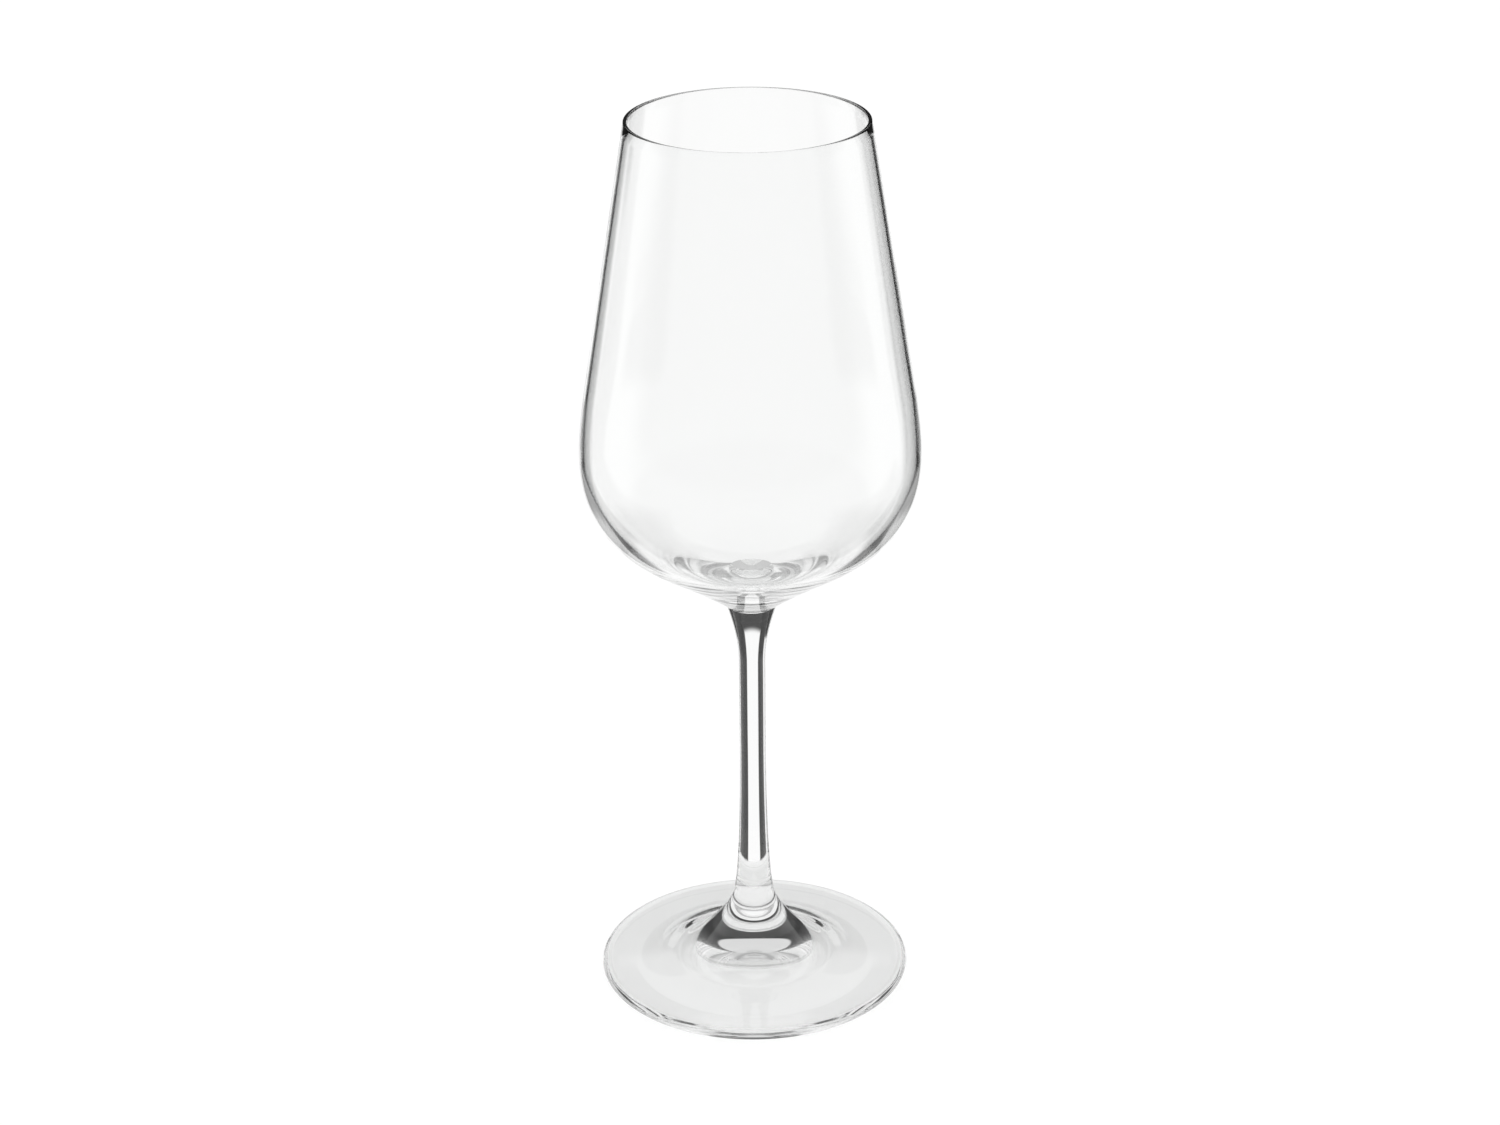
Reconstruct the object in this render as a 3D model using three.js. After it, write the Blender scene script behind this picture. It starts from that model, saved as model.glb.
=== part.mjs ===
// A stemmed wine glass in millimetres, +Z up, standing on z = 0 with its axis on x = y = 0.
// Three pieces of glass are fused end to end: a pressed foot, a drawn stem and a blown bowl.
import * as THREE from "three";

// Heights of the two joints and of the rim
const FOOT_HEIGHT = 23.4;
const STEM_LENGTH = 80;
const BOWL_HEIGHT = 124.6;

// Foot
const FOOT_RADIUS = 39.85;
const FOOT_EDGE_THICKNESS = 3.1;
const FOOT_EDGE_ROUNDING = 1.4;
const FOOT_EDGE_ROLL = THREE.MathUtils.degToRad(115);
const EDGE_DIP_INSET = 2.55;
const EDGE_DIP_DEPTH = 0.28;
const EDGE_DIP_EASE_OUT = 0.15;
const EDGE_DIP_EASE_IN = 0.3;
const FOOT_SLOPE = THREE.MathUtils.degToRad(4.7);
const FLARE_RADIUS = 20.8;
const FLARE_BOTTOM_EASE = 3.4;
const FLARE_TOP_EASE = 6.2;
const REST_RING_OUTER_RADIUS = 37.6;
const REST_RING_WIDTH = 6.6;
const HOLLOW_RISE = 6;
const HOLLOW_EASE = 8;

// Stem
const LOWER_JOINT_RADIUS = 4.95;
const WAIST_RADIUS = 3.32;
const WAIST_SHARE = 0.5075;
const LOWER_TAPER_EASE = 14;
const LOWER_JOINT_LEAN = THREE.MathUtils.degToRad(10.4);
const LOWER_JOINT_EASE = 6.6;
const NECK_RADIUS = 3.35;
const NECK_LENGTH = 15.4;
const NECK_EASE = 5;
const UPPER_JOINT_RADIUS = 6.4;
const UPPER_JOINT_LEAN = THREE.MathUtils.degToRad(19);
const UPPER_JOINT_EASE = 5;

// Bowl
const BELLY_RADIUS = 42.04;
const BELLY_SHARE = 0.3275;
const BELLY_EASE_UP = 4.84;
const BELLY_EASE_DOWN = 14.07;
const UNDERSIDE_RADIUS_SHARE = 0.6144;
const UNDERSIDE_HEIGHT_SHARE = 0.3228;
const UNDERSIDE_ANGLE = THREE.MathUtils.degToRad(31.4);
const UNDERSIDE_EASE_IN = 9;
const UNDERSIDE_EASE_OUT = 11.75;
const COLLAR_ANGLE = THREE.MathUtils.degToRad(42);
const COLLAR_EASE = 3;
const SHOULDER_RISE = 16.1;
const SHOULDER_INSET = 1.68;
const SHOULDER_EASE = 5.62;
const RIM_RADIUS = 29.36;
const RIM_WALL = 1;
const BELLY_WALL = 1.2;
const FLOOR_THICKNESS = 9.6;
const FLOOR_EASE_SHARE = 0.66;
const INNER_BELLY_EASE = 17.2;

// Facets
const BODY_SEGMENTS = 72;
const STEM_SEGMENTS = 48;
const SHORT_CURVE_STEPS = 4;
const CURVE_STEPS = 8;
const LONG_CURVE_STEPS = 12;

const BOWL_BASE = FOOT_HEIGHT + STEM_LENGTH;
const GLASS_HEIGHT = BOWL_BASE + BOWL_HEIGHT;
const UP = Math.PI / 2;
const DOWN = -Math.PI / 2;
const OUT = 0;

// x is the distance from the axis and y the height, as a lathe outline wants them.
const point = (radius, height) => new THREE.Vector2(radius, height);

// The point `length` away from `start` in the direction `angle`, counted up from straight out.
function towards(start, angle, length) {
  return point(start.x + length * Math.cos(angle), start.y + length * Math.sin(angle));
}

// A smooth curve that leaves `start` and reaches `end` along the given directions.
function curve(start, startAngle, startEase, end, endAngle, endEase, steps = CURVE_STEPS) {
  const leave = towards(start, startAngle, startEase);
  const arrive = towards(end, endAngle, -endEase);
  return new THREE.CubicBezierCurve(start, leave, arrive, end).getPoints(steps);
}

function arc(centre, radius, startAngle, endAngle, steps) {
  const circle = new THREE.EllipseCurve(centre.x, centre.y, radius, radius, startAngle, endAngle);
  return circle.getPoints(steps);
}

// One closed body turned round the Z axis from an outline that runs counterclockwise.
function turned(name, outline, segments, material) {
  const corners = outline.filter((p, i) => i === 0 || !p.equals(outline[i - 1]));
  const geometry = new THREE.LatheGeometry(corners, segments).rotateX(UP);
  const mesh = new THREE.Mesh(geometry, material);
  mesh.name = name;
  return mesh;
}

function footOutline() {
  const hollowTop = point(0, HOLLOW_RISE);
  const ringInner = point(REST_RING_OUTER_RADIUS - REST_RING_WIDTH, 0);
  const ringOuter = point(REST_RING_OUTER_RADIUS, 0);
  const edgeX = FOOT_RADIUS - FOOT_EDGE_ROUNDING;
  const edgeTop = point(edgeX, FOOT_EDGE_THICKNESS - FOOT_EDGE_ROUNDING);
  const edgeLow = point(FOOT_RADIUS, edgeTop.y);
  const rolled = arc(edgeTop, FOOT_EDGE_ROUNDING, OUT, FOOT_EDGE_ROLL, CURVE_STEPS);
  const rollEnd = rolled[CURVE_STEPS];
  const dip = point(FOOT_RADIUS - EDGE_DIP_INSET, FOOT_EDGE_THICKNESS - EDGE_DIP_DEPTH);
  const flareRise = (dip.x - FLARE_RADIUS) * Math.tan(FOOT_SLOPE);
  const flareEnd = point(FLARE_RADIUS, dip.y + flareRise);
  const joint = point(LOWER_JOINT_RADIUS, FOOT_HEIGHT);
  const discUp = Math.PI - FOOT_SLOPE;
  const rollDown = UP + FOOT_EDGE_ROLL;
  return [
    ...curve(hollowTop, OUT, HOLLOW_EASE, ringInner, OUT, HOLLOW_EASE, LONG_CURVE_STEPS),
    ...curve(ringOuter, OUT, FOOT_EDGE_ROUNDING, edgeLow, UP, FOOT_EDGE_ROUNDING / 2),
    ...rolled,
    ...curve(rollEnd, rollDown, EDGE_DIP_EASE_OUT, dip, discUp, EDGE_DIP_EASE_IN, SHORT_CURVE_STEPS),
    ...curve(flareEnd, discUp, FLARE_BOTTOM_EASE, joint, UP, FLARE_TOP_EASE, LONG_CURVE_STEPS),
    point(0, FOOT_HEIGHT),
  ];
}

function stemOutline() {
  const lower = point(LOWER_JOINT_RADIUS, FOOT_HEIGHT);
  const waist = point(WAIST_RADIUS, FOOT_HEIGHT + WAIST_SHARE * STEM_LENGTH);
  const neck = point(NECK_RADIUS, BOWL_BASE - NECK_LENGTH);
  const upper = point(UPPER_JOINT_RADIUS, BOWL_BASE);
  const leanIn = UP + LOWER_JOINT_LEAN;
  const leanOut = UP - UPPER_JOINT_LEAN;
  return [
    point(0, FOOT_HEIGHT),
    ...curve(lower, leanIn, LOWER_JOINT_EASE, waist, UP, LOWER_TAPER_EASE, LONG_CURVE_STEPS),
    ...curve(neck, UP, NECK_EASE, upper, leanOut, UPPER_JOINT_EASE),
    point(0, BOWL_BASE),
  ];
}

function bowlOuterOutline() {
  const bellyRise = BELLY_SHARE * BOWL_HEIGHT;
  const collar = point(UPPER_JOINT_RADIUS, BOWL_BASE);
  const underside = point(
    UNDERSIDE_RADIUS_SHARE * BELLY_RADIUS,
    BOWL_BASE + UNDERSIDE_HEIGHT_SHARE * bellyRise,
  );
  const belly = point(BELLY_RADIUS, BOWL_BASE + bellyRise);
  const shoulder = point(BELLY_RADIUS - SHOULDER_INSET, belly.y + SHOULDER_RISE);
  const lean = UP + leanOfWall();
  return [
    ...curve(collar, COLLAR_ANGLE, COLLAR_EASE, underside, UNDERSIDE_ANGLE, UNDERSIDE_EASE_IN),
    ...curve(underside, UNDERSIDE_ANGLE, UNDERSIDE_EASE_OUT, belly, UP, BELLY_EASE_DOWN),
    ...curve(belly, UP, BELLY_EASE_UP, shoulder, lean, SHOULDER_EASE),
  ];
}

// How far the straight upper wall leans in, from the shoulder to the rim.
function leanOfWall() {
  const inward = BELLY_RADIUS - SHOULDER_INSET - RIM_RADIUS;
  const rise = BOWL_HEIGHT * (1 - BELLY_SHARE) - SHOULDER_RISE;
  return Math.atan2(inward, rise);
}

function bowlInnerOutline() {
  const belly = point(BELLY_RADIUS - BELLY_WALL, BOWL_BASE + BELLY_SHARE * BOWL_HEIGHT);
  const shoulderWall = (RIM_WALL + BELLY_WALL) / 2;
  const shoulderRadius = BELLY_RADIUS - SHOULDER_INSET - shoulderWall;
  const shoulder = point(shoulderRadius, belly.y + SHOULDER_RISE);
  const floor = point(0, BOWL_BASE + FLOOR_THICKNESS);
  const floorEase = FLOOR_EASE_SHARE * belly.x;
  const lean = DOWN + leanOfWall();
  return [
    ...curve(shoulder, lean, SHOULDER_EASE, belly, DOWN, BELLY_EASE_UP),
    ...curve(belly, DOWN, INNER_BELLY_EASE, floor, Math.PI, floorEase, LONG_CURVE_STEPS),
  ];
}

function bowlOutline() {
  const beadRadius = RIM_WALL / 2;
  const bead = point(RIM_RADIUS - beadRadius, GLASS_HEIGHT - beadRadius);
  const lean = leanOfWall();
  return [
    point(0, BOWL_BASE),
    ...bowlOuterOutline(),
    ...arc(bead, beadRadius, lean, Math.PI + lean, CURVE_STEPS),
    ...bowlInnerOutline(),
  ];
}

const clearGlass = () => new THREE.MeshStandardMaterial({
  color: 0xe9f1f0,
  roughness: 0.04,
  metalness: 0,
});

const glass = new THREE.Group();
glass.name = "wine_glass";
glass.add(
  turned("foot", footOutline(), BODY_SEGMENTS, clearGlass()),
  turned("stem", stemOutline(), STEM_SEGMENTS, clearGlass()),
  turned("bowl", bowlOutline(), BODY_SEGMENTS, clearGlass()),
);

export default glass;
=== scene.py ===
import math

import bmesh
import bpy
from mathutils import Matrix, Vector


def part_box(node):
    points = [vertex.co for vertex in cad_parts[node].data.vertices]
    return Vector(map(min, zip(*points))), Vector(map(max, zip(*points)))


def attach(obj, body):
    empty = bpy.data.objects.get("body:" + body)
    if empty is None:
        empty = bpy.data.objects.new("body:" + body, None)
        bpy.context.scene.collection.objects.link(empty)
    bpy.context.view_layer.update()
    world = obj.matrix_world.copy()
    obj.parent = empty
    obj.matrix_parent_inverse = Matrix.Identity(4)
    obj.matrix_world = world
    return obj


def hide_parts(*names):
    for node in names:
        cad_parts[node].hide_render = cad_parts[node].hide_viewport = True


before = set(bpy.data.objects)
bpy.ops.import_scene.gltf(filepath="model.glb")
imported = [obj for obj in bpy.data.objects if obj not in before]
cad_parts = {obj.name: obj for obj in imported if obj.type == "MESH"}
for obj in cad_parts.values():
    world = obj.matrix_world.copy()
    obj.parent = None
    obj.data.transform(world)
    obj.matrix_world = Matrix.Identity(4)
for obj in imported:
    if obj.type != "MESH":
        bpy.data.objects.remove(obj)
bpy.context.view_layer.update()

MM = 0.001

# Heights and widths come from the CAD, in millimetres here.
FOOT_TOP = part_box("foot")[1].z / MM
BOWL_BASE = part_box("bowl")[0].z / MM
RIM_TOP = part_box("bowl")[1].z / MM
FOOT_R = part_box("foot")[1].x / MM
COLLAR_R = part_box("stem")[1].x / MM
BELLY_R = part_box("bowl")[1].x / MM

# Foot
LOWER_R = 4.95
REST_RING = (31.0, 37.6)
HOLLOW_RISE = 6
HOLLOW_EASE = 8
EDGE_ROUNDING = 1.4
EDGE_HEIGHT = 1.7
EDGE_ROLL = 115
EDGE_DIP = (FOOT_R - 2.55, 2.82)
EDGE_DIP_EASES = (0.15, 0.3)
DISC_SLOPE = 4.7
FLARE_R = 20.8
FLARE_EASES = (3.4, 6.2)

# Stem
LOWER_LEAN = 10.4
LOWER_EASES = (6.6, 14)
WAIST = (3.32, FOOT_TOP + 0.5075 * (BOWL_BASE - FOOT_TOP))
NECK = (3.35, BOWL_BASE - 15.4)
NECK_EASE = 5
UPPER_LEAN = 19

# Bowl
COLLAR_ANGLE = 42
COLLAR_EASE = 3
BELLY = (BELLY_R, BOWL_BASE + 0.3275 * (RIM_TOP - BOWL_BASE))
UNDERSIDE = (0.6144 * BELLY_R, BOWL_BASE + 0.3228 * (BELLY[1] - BOWL_BASE))
UNDERSIDE_ANGLE = 31.4
UNDERSIDE_EASES = (9, 11.75)
BELLY_EASES = (14.07, 4.84)
SHOULDER = (BELLY_R - 1.68, BELLY[1] + 16.1)
SHOULDER_EASE = 5.62
RIM_R = 29.36
RIM_WALL = 1.0
BELLY_WALL = 1.2
BOWL_FLOOR = BOWL_BASE + 9.6
INNER_BELLY_EASE = 17.2
FLOOR_EASE_SHARE = 0.66

# How finely the outlines are divided
SEGMENTS = 192
LONG_CURVE_STEPS = 64
CURVE_STEPS = 40
SHOULDER_STEPS = 20
ARC_STEPS = 16
EDGE_STEPS = 10
DIP_STEPS = 8
WALL_STEPS = 24
LINE_STEPS = 12
RING_STEPS = 3
ON_AXIS = 1e-6


# ---- outlines, as points (distance from the axis, height) in millimetres ----

def towards(start, angle, length):
    """The point at this distance from start, in a direction in degrees up from straight out."""
    turn = math.radians(angle)
    return (start[0] + length * math.cos(turn), start[1] + length * math.sin(turn))


def curve(start, start_angle, start_ease, end, end_angle, end_ease, steps):
    """Points of a smooth curve that leaves start and reaches end along the given directions."""
    leave = towards(start, start_angle, start_ease)
    arrive = towards(end, end_angle, -end_ease)
    points = []
    for i in range(steps + 1):
        t = i / steps
        weights = ((1 - t) ** 3, 3 * t * (1 - t) ** 2, 3 * t * t * (1 - t), t ** 3)
        corners = (start, leave, arrive, end)
        points.append(tuple(sum(w * c[axis] for w, c in zip(weights, corners)) for axis in (0, 1)))
    return points


def arc(centre, radius, first, last, steps):
    """Points of a circle's arc between two directions."""
    return [towards(centre, first + (last - first) * i / steps, radius) for i in range(steps + 1)]


def line(start, end, steps):
    """Evenly spaced points from start to end."""
    return [tuple(s + (e - s) * i / steps for s, e in zip(start, end)) for i in range(steps + 1)]


def joined(*runs):
    """One outline from runs of points, each starting where the one before it ends."""
    outline = list(runs[0])
    for run in runs[1:]:
        outline += run[1:]
    return outline


def foot_outline():
    up = 180 - DISC_SLOPE
    flare = (FLARE_R, EDGE_DIP[1] + (EDGE_DIP[0] - FLARE_R) * math.tan(math.radians(DISC_SLOPE)))
    ring = [(r, 0) for r in REST_RING]
    roll = arc((FOOT_R - EDGE_ROUNDING, EDGE_HEIGHT), EDGE_ROUNDING, 0, EDGE_ROLL, ARC_STEPS)
    return joined(
        curve((0, HOLLOW_RISE), 0, HOLLOW_EASE, ring[0], 0, HOLLOW_EASE, CURVE_STEPS),
        line(ring[0], ring[1], RING_STEPS),
        curve(ring[1], 0, EDGE_ROUNDING, roll[0], 90, EDGE_ROUNDING / 2, EDGE_STEPS),
        roll,
        curve(roll[-1], 90 + EDGE_ROLL, EDGE_DIP_EASES[0], EDGE_DIP, up, EDGE_DIP_EASES[1], DIP_STEPS),
        line(EDGE_DIP, flare, LINE_STEPS),
        curve(flare, up, FLARE_EASES[0], (LOWER_R, FOOT_TOP), 90, FLARE_EASES[1], LONG_CURVE_STEPS),
    )


def stem_outline():
    return joined(
        curve((LOWER_R, FOOT_TOP), 90 + LOWER_LEAN, LOWER_EASES[0], WAIST, 90, LOWER_EASES[1], CURVE_STEPS),
        line(WAIST, NECK, LINE_STEPS),
        curve(NECK, 90, NECK_EASE, (COLLAR_R, BOWL_BASE), 90 - UPPER_LEAN, NECK_EASE, CURVE_STEPS),
    )


def bowl_outline():
    lean = math.degrees(math.atan2(SHOULDER[0] - RIM_R, RIM_TOP - SHOULDER[1]))
    half = RIM_WALL / 2
    rim = arc((RIM_R - half, RIM_TOP - half), half, lean, 180 + lean, ARC_STEPS)
    collar = (COLLAR_R, BOWL_BASE)
    inner_shoulder = (SHOULDER[0] - (RIM_WALL + BELLY_WALL) / 2, SHOULDER[1])
    inner_belly = (BELLY[0] - BELLY_WALL, BELLY[1])
    floor_ease = FLOOR_EASE_SHARE * inner_belly[0]
    return joined(
        curve(collar, COLLAR_ANGLE, COLLAR_EASE, UNDERSIDE, UNDERSIDE_ANGLE, UNDERSIDE_EASES[0], CURVE_STEPS),
        curve(UNDERSIDE, UNDERSIDE_ANGLE, UNDERSIDE_EASES[1], BELLY, 90, BELLY_EASES[0], CURVE_STEPS),
        curve(BELLY, 90, BELLY_EASES[1], SHOULDER, 90 + lean, SHOULDER_EASE, SHOULDER_STEPS),
        line(SHOULDER, rim[0], WALL_STEPS),
        rim,
        line(rim[-1], inner_shoulder, WALL_STEPS),
        curve(inner_shoulder, lean - 90, SHOULDER_EASE, inner_belly, -90, BELLY_EASES[1], SHOULDER_STEPS),
        curve(inner_belly, -90, INNER_BELLY_EASE, (0, BOWL_FLOOR), 180, floor_ease, LONG_CURVE_STEPS),
    )


# ---- meshes ----

def turned(name, outline):
    """A mesh turned round the axis. It stays open at a joint, where the glass runs on without a wall."""
    mesh = bpy.data.meshes.new(name)
    made = bmesh.new()
    rings = []
    for radius, height in outline:
        if radius < ON_AXIS:
            rings.append([made.verts.new((0, 0, height * MM))] * SEGMENTS)
            continue
        ring = []
        for i in range(SEGMENTS):
            turn = 2 * math.pi * i / SEGMENTS
            corner = (radius * math.cos(turn) * MM, radius * math.sin(turn) * MM, height * MM)
            ring.append(made.verts.new(corner))
        rings.append(ring)
    for low, high in zip(rings, rings[1:]):
        for i in range(SEGMENTS):
            j = (i + 1) % SEGMENTS
            corners = dict.fromkeys((low[i], low[j], high[j], high[i]))
            made.faces.new(tuple(corners)).smooth = True
    made.to_mesh(mesh)
    made.free()
    piece = bpy.data.objects.new(name, mesh)
    bpy.context.scene.collection.objects.link(piece)
    return piece


# ---- shader node helpers ----

def add(tree, kind, settings=None, **inputs):
    """A new node. Each input is a value or another node's output; _ stands for a space in its name."""
    made = tree.nodes.new(kind)
    for key, value in (settings or {}).items():
        setattr(made, key, value)
    for key, value in inputs.items():
        plug(tree, made.inputs[key.replace("_", " ")], value)
    return made


def plug(tree, socket, value):
    """Set a socket to a value, or link it to another node's output."""
    if isinstance(value, bpy.types.NodeSocket):
        tree.links.new(value, socket)
    else:
        socket.default_value = value


def calc(tree, operation, *values):
    """The output of a Math node."""
    made = tree.nodes.new("ShaderNodeMath")
    made.operation = operation
    for socket, value in zip(made.inputs, values):
        plug(tree, socket, value)
    return made.outputs[0]


def ramp(tree, value, start, end, low=0.0, high=1.0):
    """A smooth step from low to high as value goes from start to end."""
    made = add(tree, "ShaderNodeMapRange", {"interpolation_type": "SMOOTHSTEP"}, Value=value)
    for name, v in (("From Min", start), ("From Max", end), ("To Min", low), ("To Max", high)):
        made.inputs[name].default_value = v
    return made.outputs[0]


# ---- glass ----

IOR = 1.5
TINT = (0.997, 1.0, 0.998, 1.0)
WAVE_SCALE = 55
WAVE_HEIGHT = 0.012 * MM
RIPPLE_STRETCH = (14, 14, 190)
RIPPLE_HEIGHT = 0.004 * MM
POLISH_SCALE = 130
POLISH_EDGE = (0.45, 0.7)
ROUGHNESS = (0.0, 0.012)


def glass_material(name):
    """Colourless glass with the faint waves of blown glass, fine level ripples and an uneven fire polish."""
    mat = bpy.data.materials.new(name)
    mat.use_nodes = True
    tree = mat.node_tree
    shader = tree.nodes["Principled BSDF"]
    place = tree.nodes.new("ShaderNodeTexCoord").outputs["Object"]
    wave = add(tree, "ShaderNodeTexNoise", Vector=place, Scale=WAVE_SCALE, Detail=1.0)
    stretched = add(tree, "ShaderNodeMapping", Vector=place, Scale=RIPPLE_STRETCH)
    ripple = add(tree, "ShaderNodeTexNoise", Vector=stretched.outputs[0], Scale=1.0, Detail=2.0)
    heights = calc(
        tree, "ADD",
        calc(tree, "MULTIPLY", wave.outputs["Fac"], WAVE_HEIGHT),
        calc(tree, "MULTIPLY", ripple.outputs["Fac"], RIPPLE_HEIGHT),
    )
    bump = add(tree, "ShaderNodeBump", Height=heights, Distance=1.0)
    polish = add(tree, "ShaderNodeTexNoise", Vector=place, Scale=POLISH_SCALE, Detail=3.0)
    plug(tree, shader.inputs["Roughness"], ramp(tree, polish.outputs["Fac"], *POLISH_EDGE, *ROUGHNESS))
    plug(tree, shader.inputs["Normal"], bump.outputs["Normal"])
    shader.inputs["Base Color"].default_value = TINT
    shader.inputs["Transmission Weight"].default_value = 1.0
    shader.inputs["IOR"].default_value = IOR
    return mat


glass = glass_material("clear_glass")
for part, outline in (("foot", foot_outline()), ("stem", stem_outline()), ("bowl", bowl_outline())):
    piece = turned(part + "_glass", outline)
    piece.data.materials.append(glass)
    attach(piece, "root")
    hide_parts(part)


# ---- floor: metres, and shades of grey ----

FLOOR_HALF = 6.0
FLOOR_DROP = 0.1 * MM
FLOOR_ROUGHNESS = 0.9
LIT_RADIUS = 46 * MM
LIT_FADE = 1.05
BOARD = 0.92
# Painted shade: the board seen through the glass is darker than the board seen straight, standing in for the
# light the glass keeps from the floor.
PAINTED_SHADE_UNDER_GLASS = 0.8


def floor_material():
    """Plain pale board to the camera. Rays bent by the glass see only the part it stands on, in a painted
    shade darker than the board, and the studio beyond it.
    """
    mat = bpy.data.materials.new("floor")
    mat.use_nodes = True
    tree = mat.node_tree
    path = tree.nodes.new("ShaderNodeLightPath")
    straight = calc(tree, "MAXIMUM", path.outputs["Is Camera Ray"], path.outputs["Is Diffuse Ray"])
    place = tree.nodes.new("ShaderNodeNewGeometry").outputs["Position"]
    distance = add(tree, "ShaderNodeVectorMath", {"operation": "LENGTH"}, Vector=place).outputs["Value"]
    near = ramp(tree, distance, LIT_RADIUS, LIT_RADIUS * LIT_FADE, 1.0, 0.0)
    board = tree.nodes["Principled BSDF"]
    # Painted shade: rays bent by the glass get the darker board colour, while straight rays get the pale
    # board.
    plug(tree, board.inputs["Base Color"], ramp(tree, straight, 0.0, 1.0, PAINTED_SHADE_UNDER_GLASS, BOARD))
    board.inputs["Roughness"].default_value = FLOOR_ROUGHNESS
    board.inputs["Specular IOR Level"].default_value = 0.0
    clear = tree.nodes.new("ShaderNodeBsdfTransparent")
    mix = add(tree, "ShaderNodeMixShader", Fac=calc(tree, "MAXIMUM", near, straight))
    plug(tree, mix.inputs[1], clear.outputs[0])
    plug(tree, mix.inputs[2], board.outputs[0])
    plug(tree, tree.nodes["Material Output"].inputs["Surface"], mix.outputs[0])
    return mat


floor_mesh = bpy.data.meshes.new("floor")
h = FLOOR_HALF
floor_mesh.from_pydata([(-h, -h, 0), (h, -h, 0), (h, h, 0), (-h, h, 0)], [], [(0, 1, 2, 3)])
floor = bpy.data.objects.new("floor", floor_mesh)
bpy.context.scene.collection.objects.link(floor)
floor_mesh.materials.append(floor_material())
floor.location.z = -FLOOR_DROP


# ---- studio: a white room with two dark cards behind the glass; angles in degrees ----

BACKDROP = 1.12
GLOW = 1.0
ROOM = 0.6
ROOM_EDGE = (-0.3, 0.1)
WALL = 0.35
WALL_EDGE = (62, 76)
WALL_TOP = (-34, -26)
CEILING = 0.72
CEILING_EDGE = (18, 28)
CARD = 0.04
RIGHT_CARD = ((15, 19), (45, 51))
LEFT_CARD = ((18, 22), (36.5, 40.5))
CARD_SPLAY = 0.4
CARD_SLANT = 0.42
CARD_TOP = (25, 29)
SIDE_LOW = (-52, -44)
HIGH_LOW = (-11, -7)
HIGH_WIDE = (50, 60)
# A ray that has passed more surfaces than this, as through both walls of the bowl, sees paler, narrower cards.
THIN_SURFACES = 3.5
THIN_INSET = 10
THIN_FADE = 0.45
# A ray that has only gone in and out, with two surfaces passed and no reflection, sees the cards all round.
IN_AND_OUT = (1.5, 2.5)


def card(tree, side, splayed, edges):
    """1 on a dark card: past its inner edge on one side, and short of its splayed outer edge."""
    inner = ramp(tree, side, *edges[0])
    outer = ramp(tree, splayed, *edges[1], 1.0, 0.0)
    return calc(tree, "MULTIPLY", inner, outer)


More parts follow.
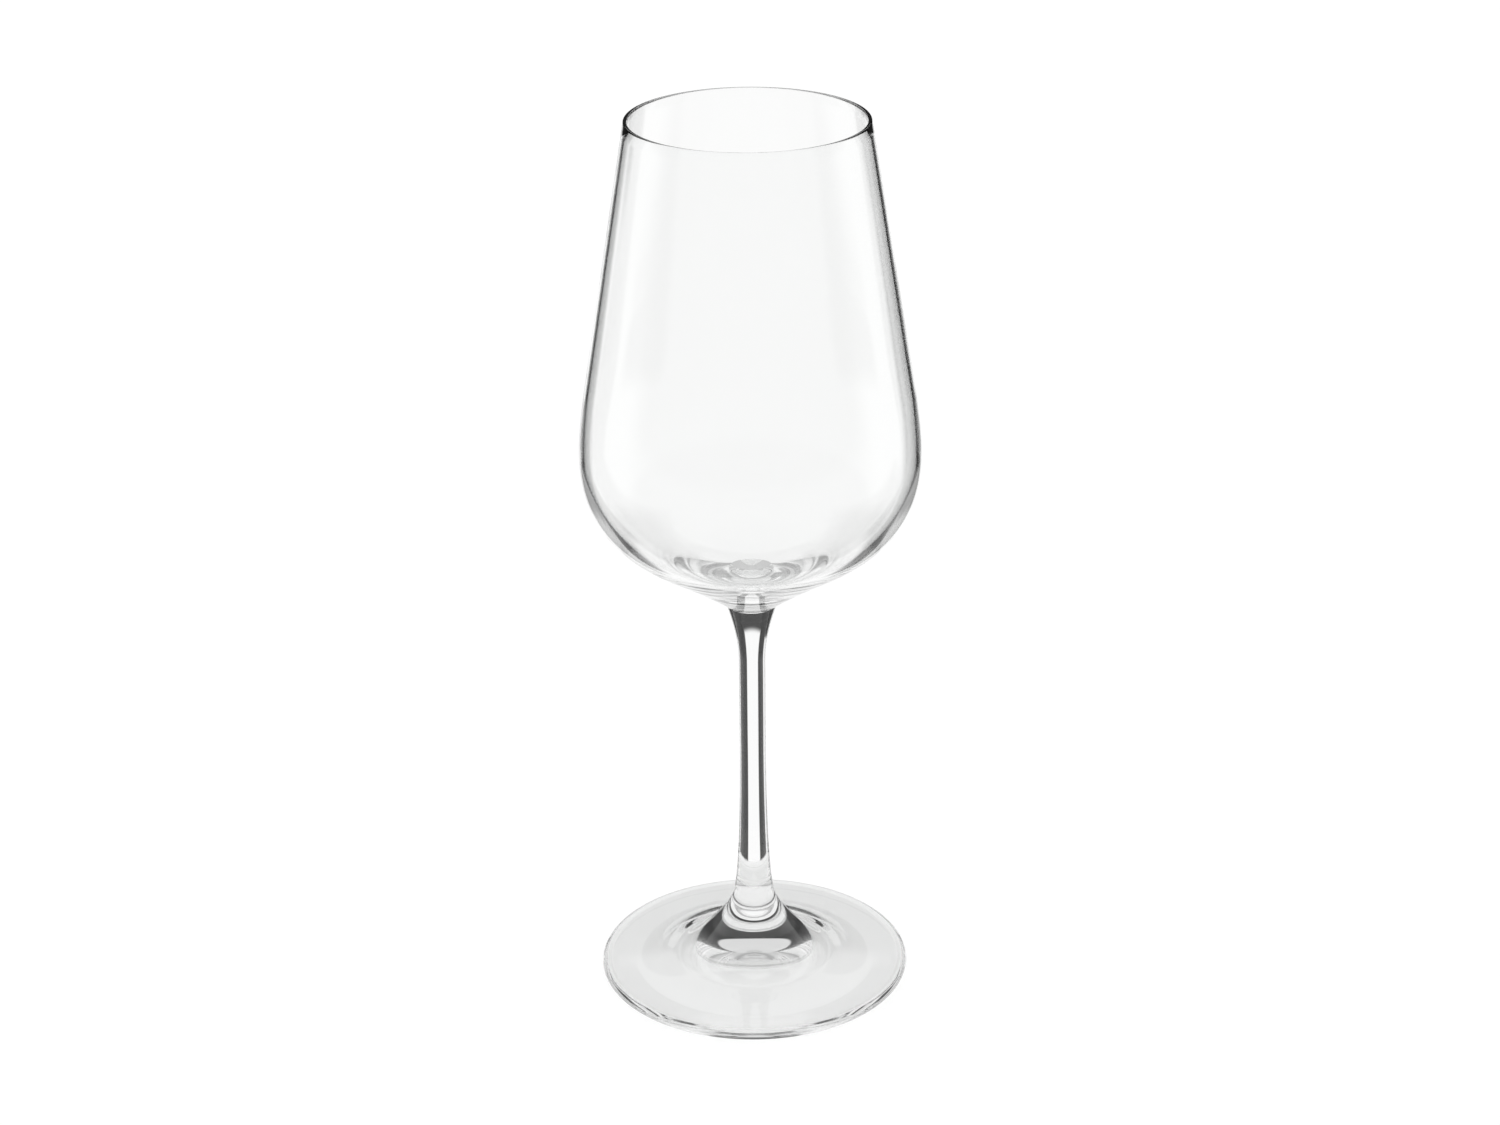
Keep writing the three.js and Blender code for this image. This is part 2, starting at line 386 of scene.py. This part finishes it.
def studio_world():
    """White to the camera and to diffuse light. Rays bent by the glass see the room and its cards."""
    world = bpy.data.worlds.new("studio")
    bpy.context.scene.world = world
    world.use_nodes = True
    world.cycles.sampling_method = "NONE"
    tree = world.node_tree
    tree.nodes.clear()
    direction = tree.nodes.new("ShaderNodeTexCoord").outputs["Generated"]
    xyz = add(tree, "ShaderNodeSeparateXYZ", Vector=direction)
    back = calc(tree, "ABSOLUTE", xyz.outputs["Y"])
    side = calc(tree, "DEGREES", calc(tree, "ARCTAN2", xyz.outputs["X"], back))
    height = calc(tree, "DEGREES", calc(tree, "ARCSINE", xyz.outputs["Z"]))
    wide = calc(tree, "ABSOLUTE", side)
    splayed = calc(tree, "ADD", wide, calc(tree, "MULTIPLY", height, CARD_SPLAY))
    path = tree.nodes.new("ShaderNodeLightPath").outputs
    thin = calc(tree, "GREATER_THAN", path["Transmission Depth"], THIN_SURFACES)
    inset = calc(tree, "MULTIPLY", thin, THIN_INSET)
    right = card(tree, calc(tree, "SUBTRACT", side, inset), splayed, RIGHT_CARD)
    leftward = calc(tree, "MULTIPLY", side, -1.0)
    left = card(tree, calc(tree, "SUBTRACT", leftward, inset), splayed, LEFT_CARD)
    sides = calc(tree, "MULTIPLY", calc(tree, "MAXIMUM", right, left), ramp(tree, height, *SIDE_LOW))
    centre = calc(tree, "MULTIPLY", ramp(tree, height, *HIGH_LOW), ramp(tree, wide, *HIGH_WIDE, 1.0, 0.0))
    lifted = calc(tree, "SUBTRACT", height, calc(tree, "MULTIPLY", wide, CARD_SLANT))
    below_top = ramp(tree, lifted, *CARD_TOP, 1.0, 0.0)
    dark = calc(tree, "MULTIPLY", calc(tree, "MAXIMUM", sides, centre), below_top)
    behind = calc(tree, "GREATER_THAN", xyz.outputs["Y"], 0.0)
    through = calc(
        tree, "MULTIPLY",
        calc(tree, "LESS_THAN", path["Ray Depth"], IN_AND_OUT[1]),
        calc(tree, "GREATER_THAN", path["Transmission Depth"], IN_AND_OUT[0]),
    )
    dark = calc(tree, "MULTIPLY", dark, calc(tree, "MAXIMUM", behind, through))
    dark = calc(tree, "MULTIPLY", dark, calc(tree, "SUBTRACT", 1.0, calc(tree, "MULTIPLY", thin, THIN_FADE)))
    room = ramp(tree, xyz.outputs["Y"], *ROOM_EDGE, ROOM, GLOW)
    low_sides = calc(tree, "MULTIPLY", ramp(tree, wide, *WALL_EDGE), ramp(tree, height, *WALL_TOP, 1.0, 0.0))
    room = calc(tree, "MULTIPLY", room, ramp(tree, low_sides, 0.0, 1.0, 1.0, WALL))
    room = calc(tree, "MULTIPLY", room, ramp(tree, height, *CEILING_EDGE, 1.0, CEILING))
    glassy = calc(tree, "MULTIPLY", room, ramp(tree, dark, 0.0, 1.0, 1.0, CARD))
    plain = calc(tree, "MAXIMUM", path["Is Camera Ray"], path["Diffuse Depth"])
    strength = add(tree, "ShaderNodeMix", Factor=plain, A=glassy, B=BACKDROP)
    background = add(tree, "ShaderNodeBackground", Color=(1, 1, 1, 1), Strength=strength.outputs[0])
    output = tree.nodes.new("ShaderNodeOutputWorld")
    plug(tree, output.inputs["Surface"], background.outputs[0])


studio_world()


# ---- camera, and light paths long enough for the many reflections inside the glass ----

CAMERA = (-0.3 * MM, -721.7 * MM, 426.5 * MM)
LENS = 75.8
SENSOR = 36
PITCH = 23.38
ROLL = -0.5
CLIP_START = 0.01
BOUNCES = 96

cam_data = bpy.data.cameras.new("camera")
cam_data.sensor_width = SENSOR
cam_data.lens = LENS
cam_data.clip_start = CLIP_START
cam = bpy.data.objects.new("camera", cam_data)
bpy.context.scene.collection.objects.link(cam)
bpy.context.scene.camera = cam
cam.location = CAMERA
pitch = Matrix.Rotation(math.radians(90 - PITCH), 3, "X")
cam.rotation_euler = (pitch @ Matrix.Rotation(math.radians(ROLL), 3, "Z")).to_euler()

scene = bpy.context.scene
scene.view_settings.view_transform = "Standard"
scene.cycles.max_bounces = BOUNCES
scene.cycles.transmission_bounces = BOUNCES
scene.cycles.glossy_bounces = BOUNCES
scene.cycles.blur_glossy = 0
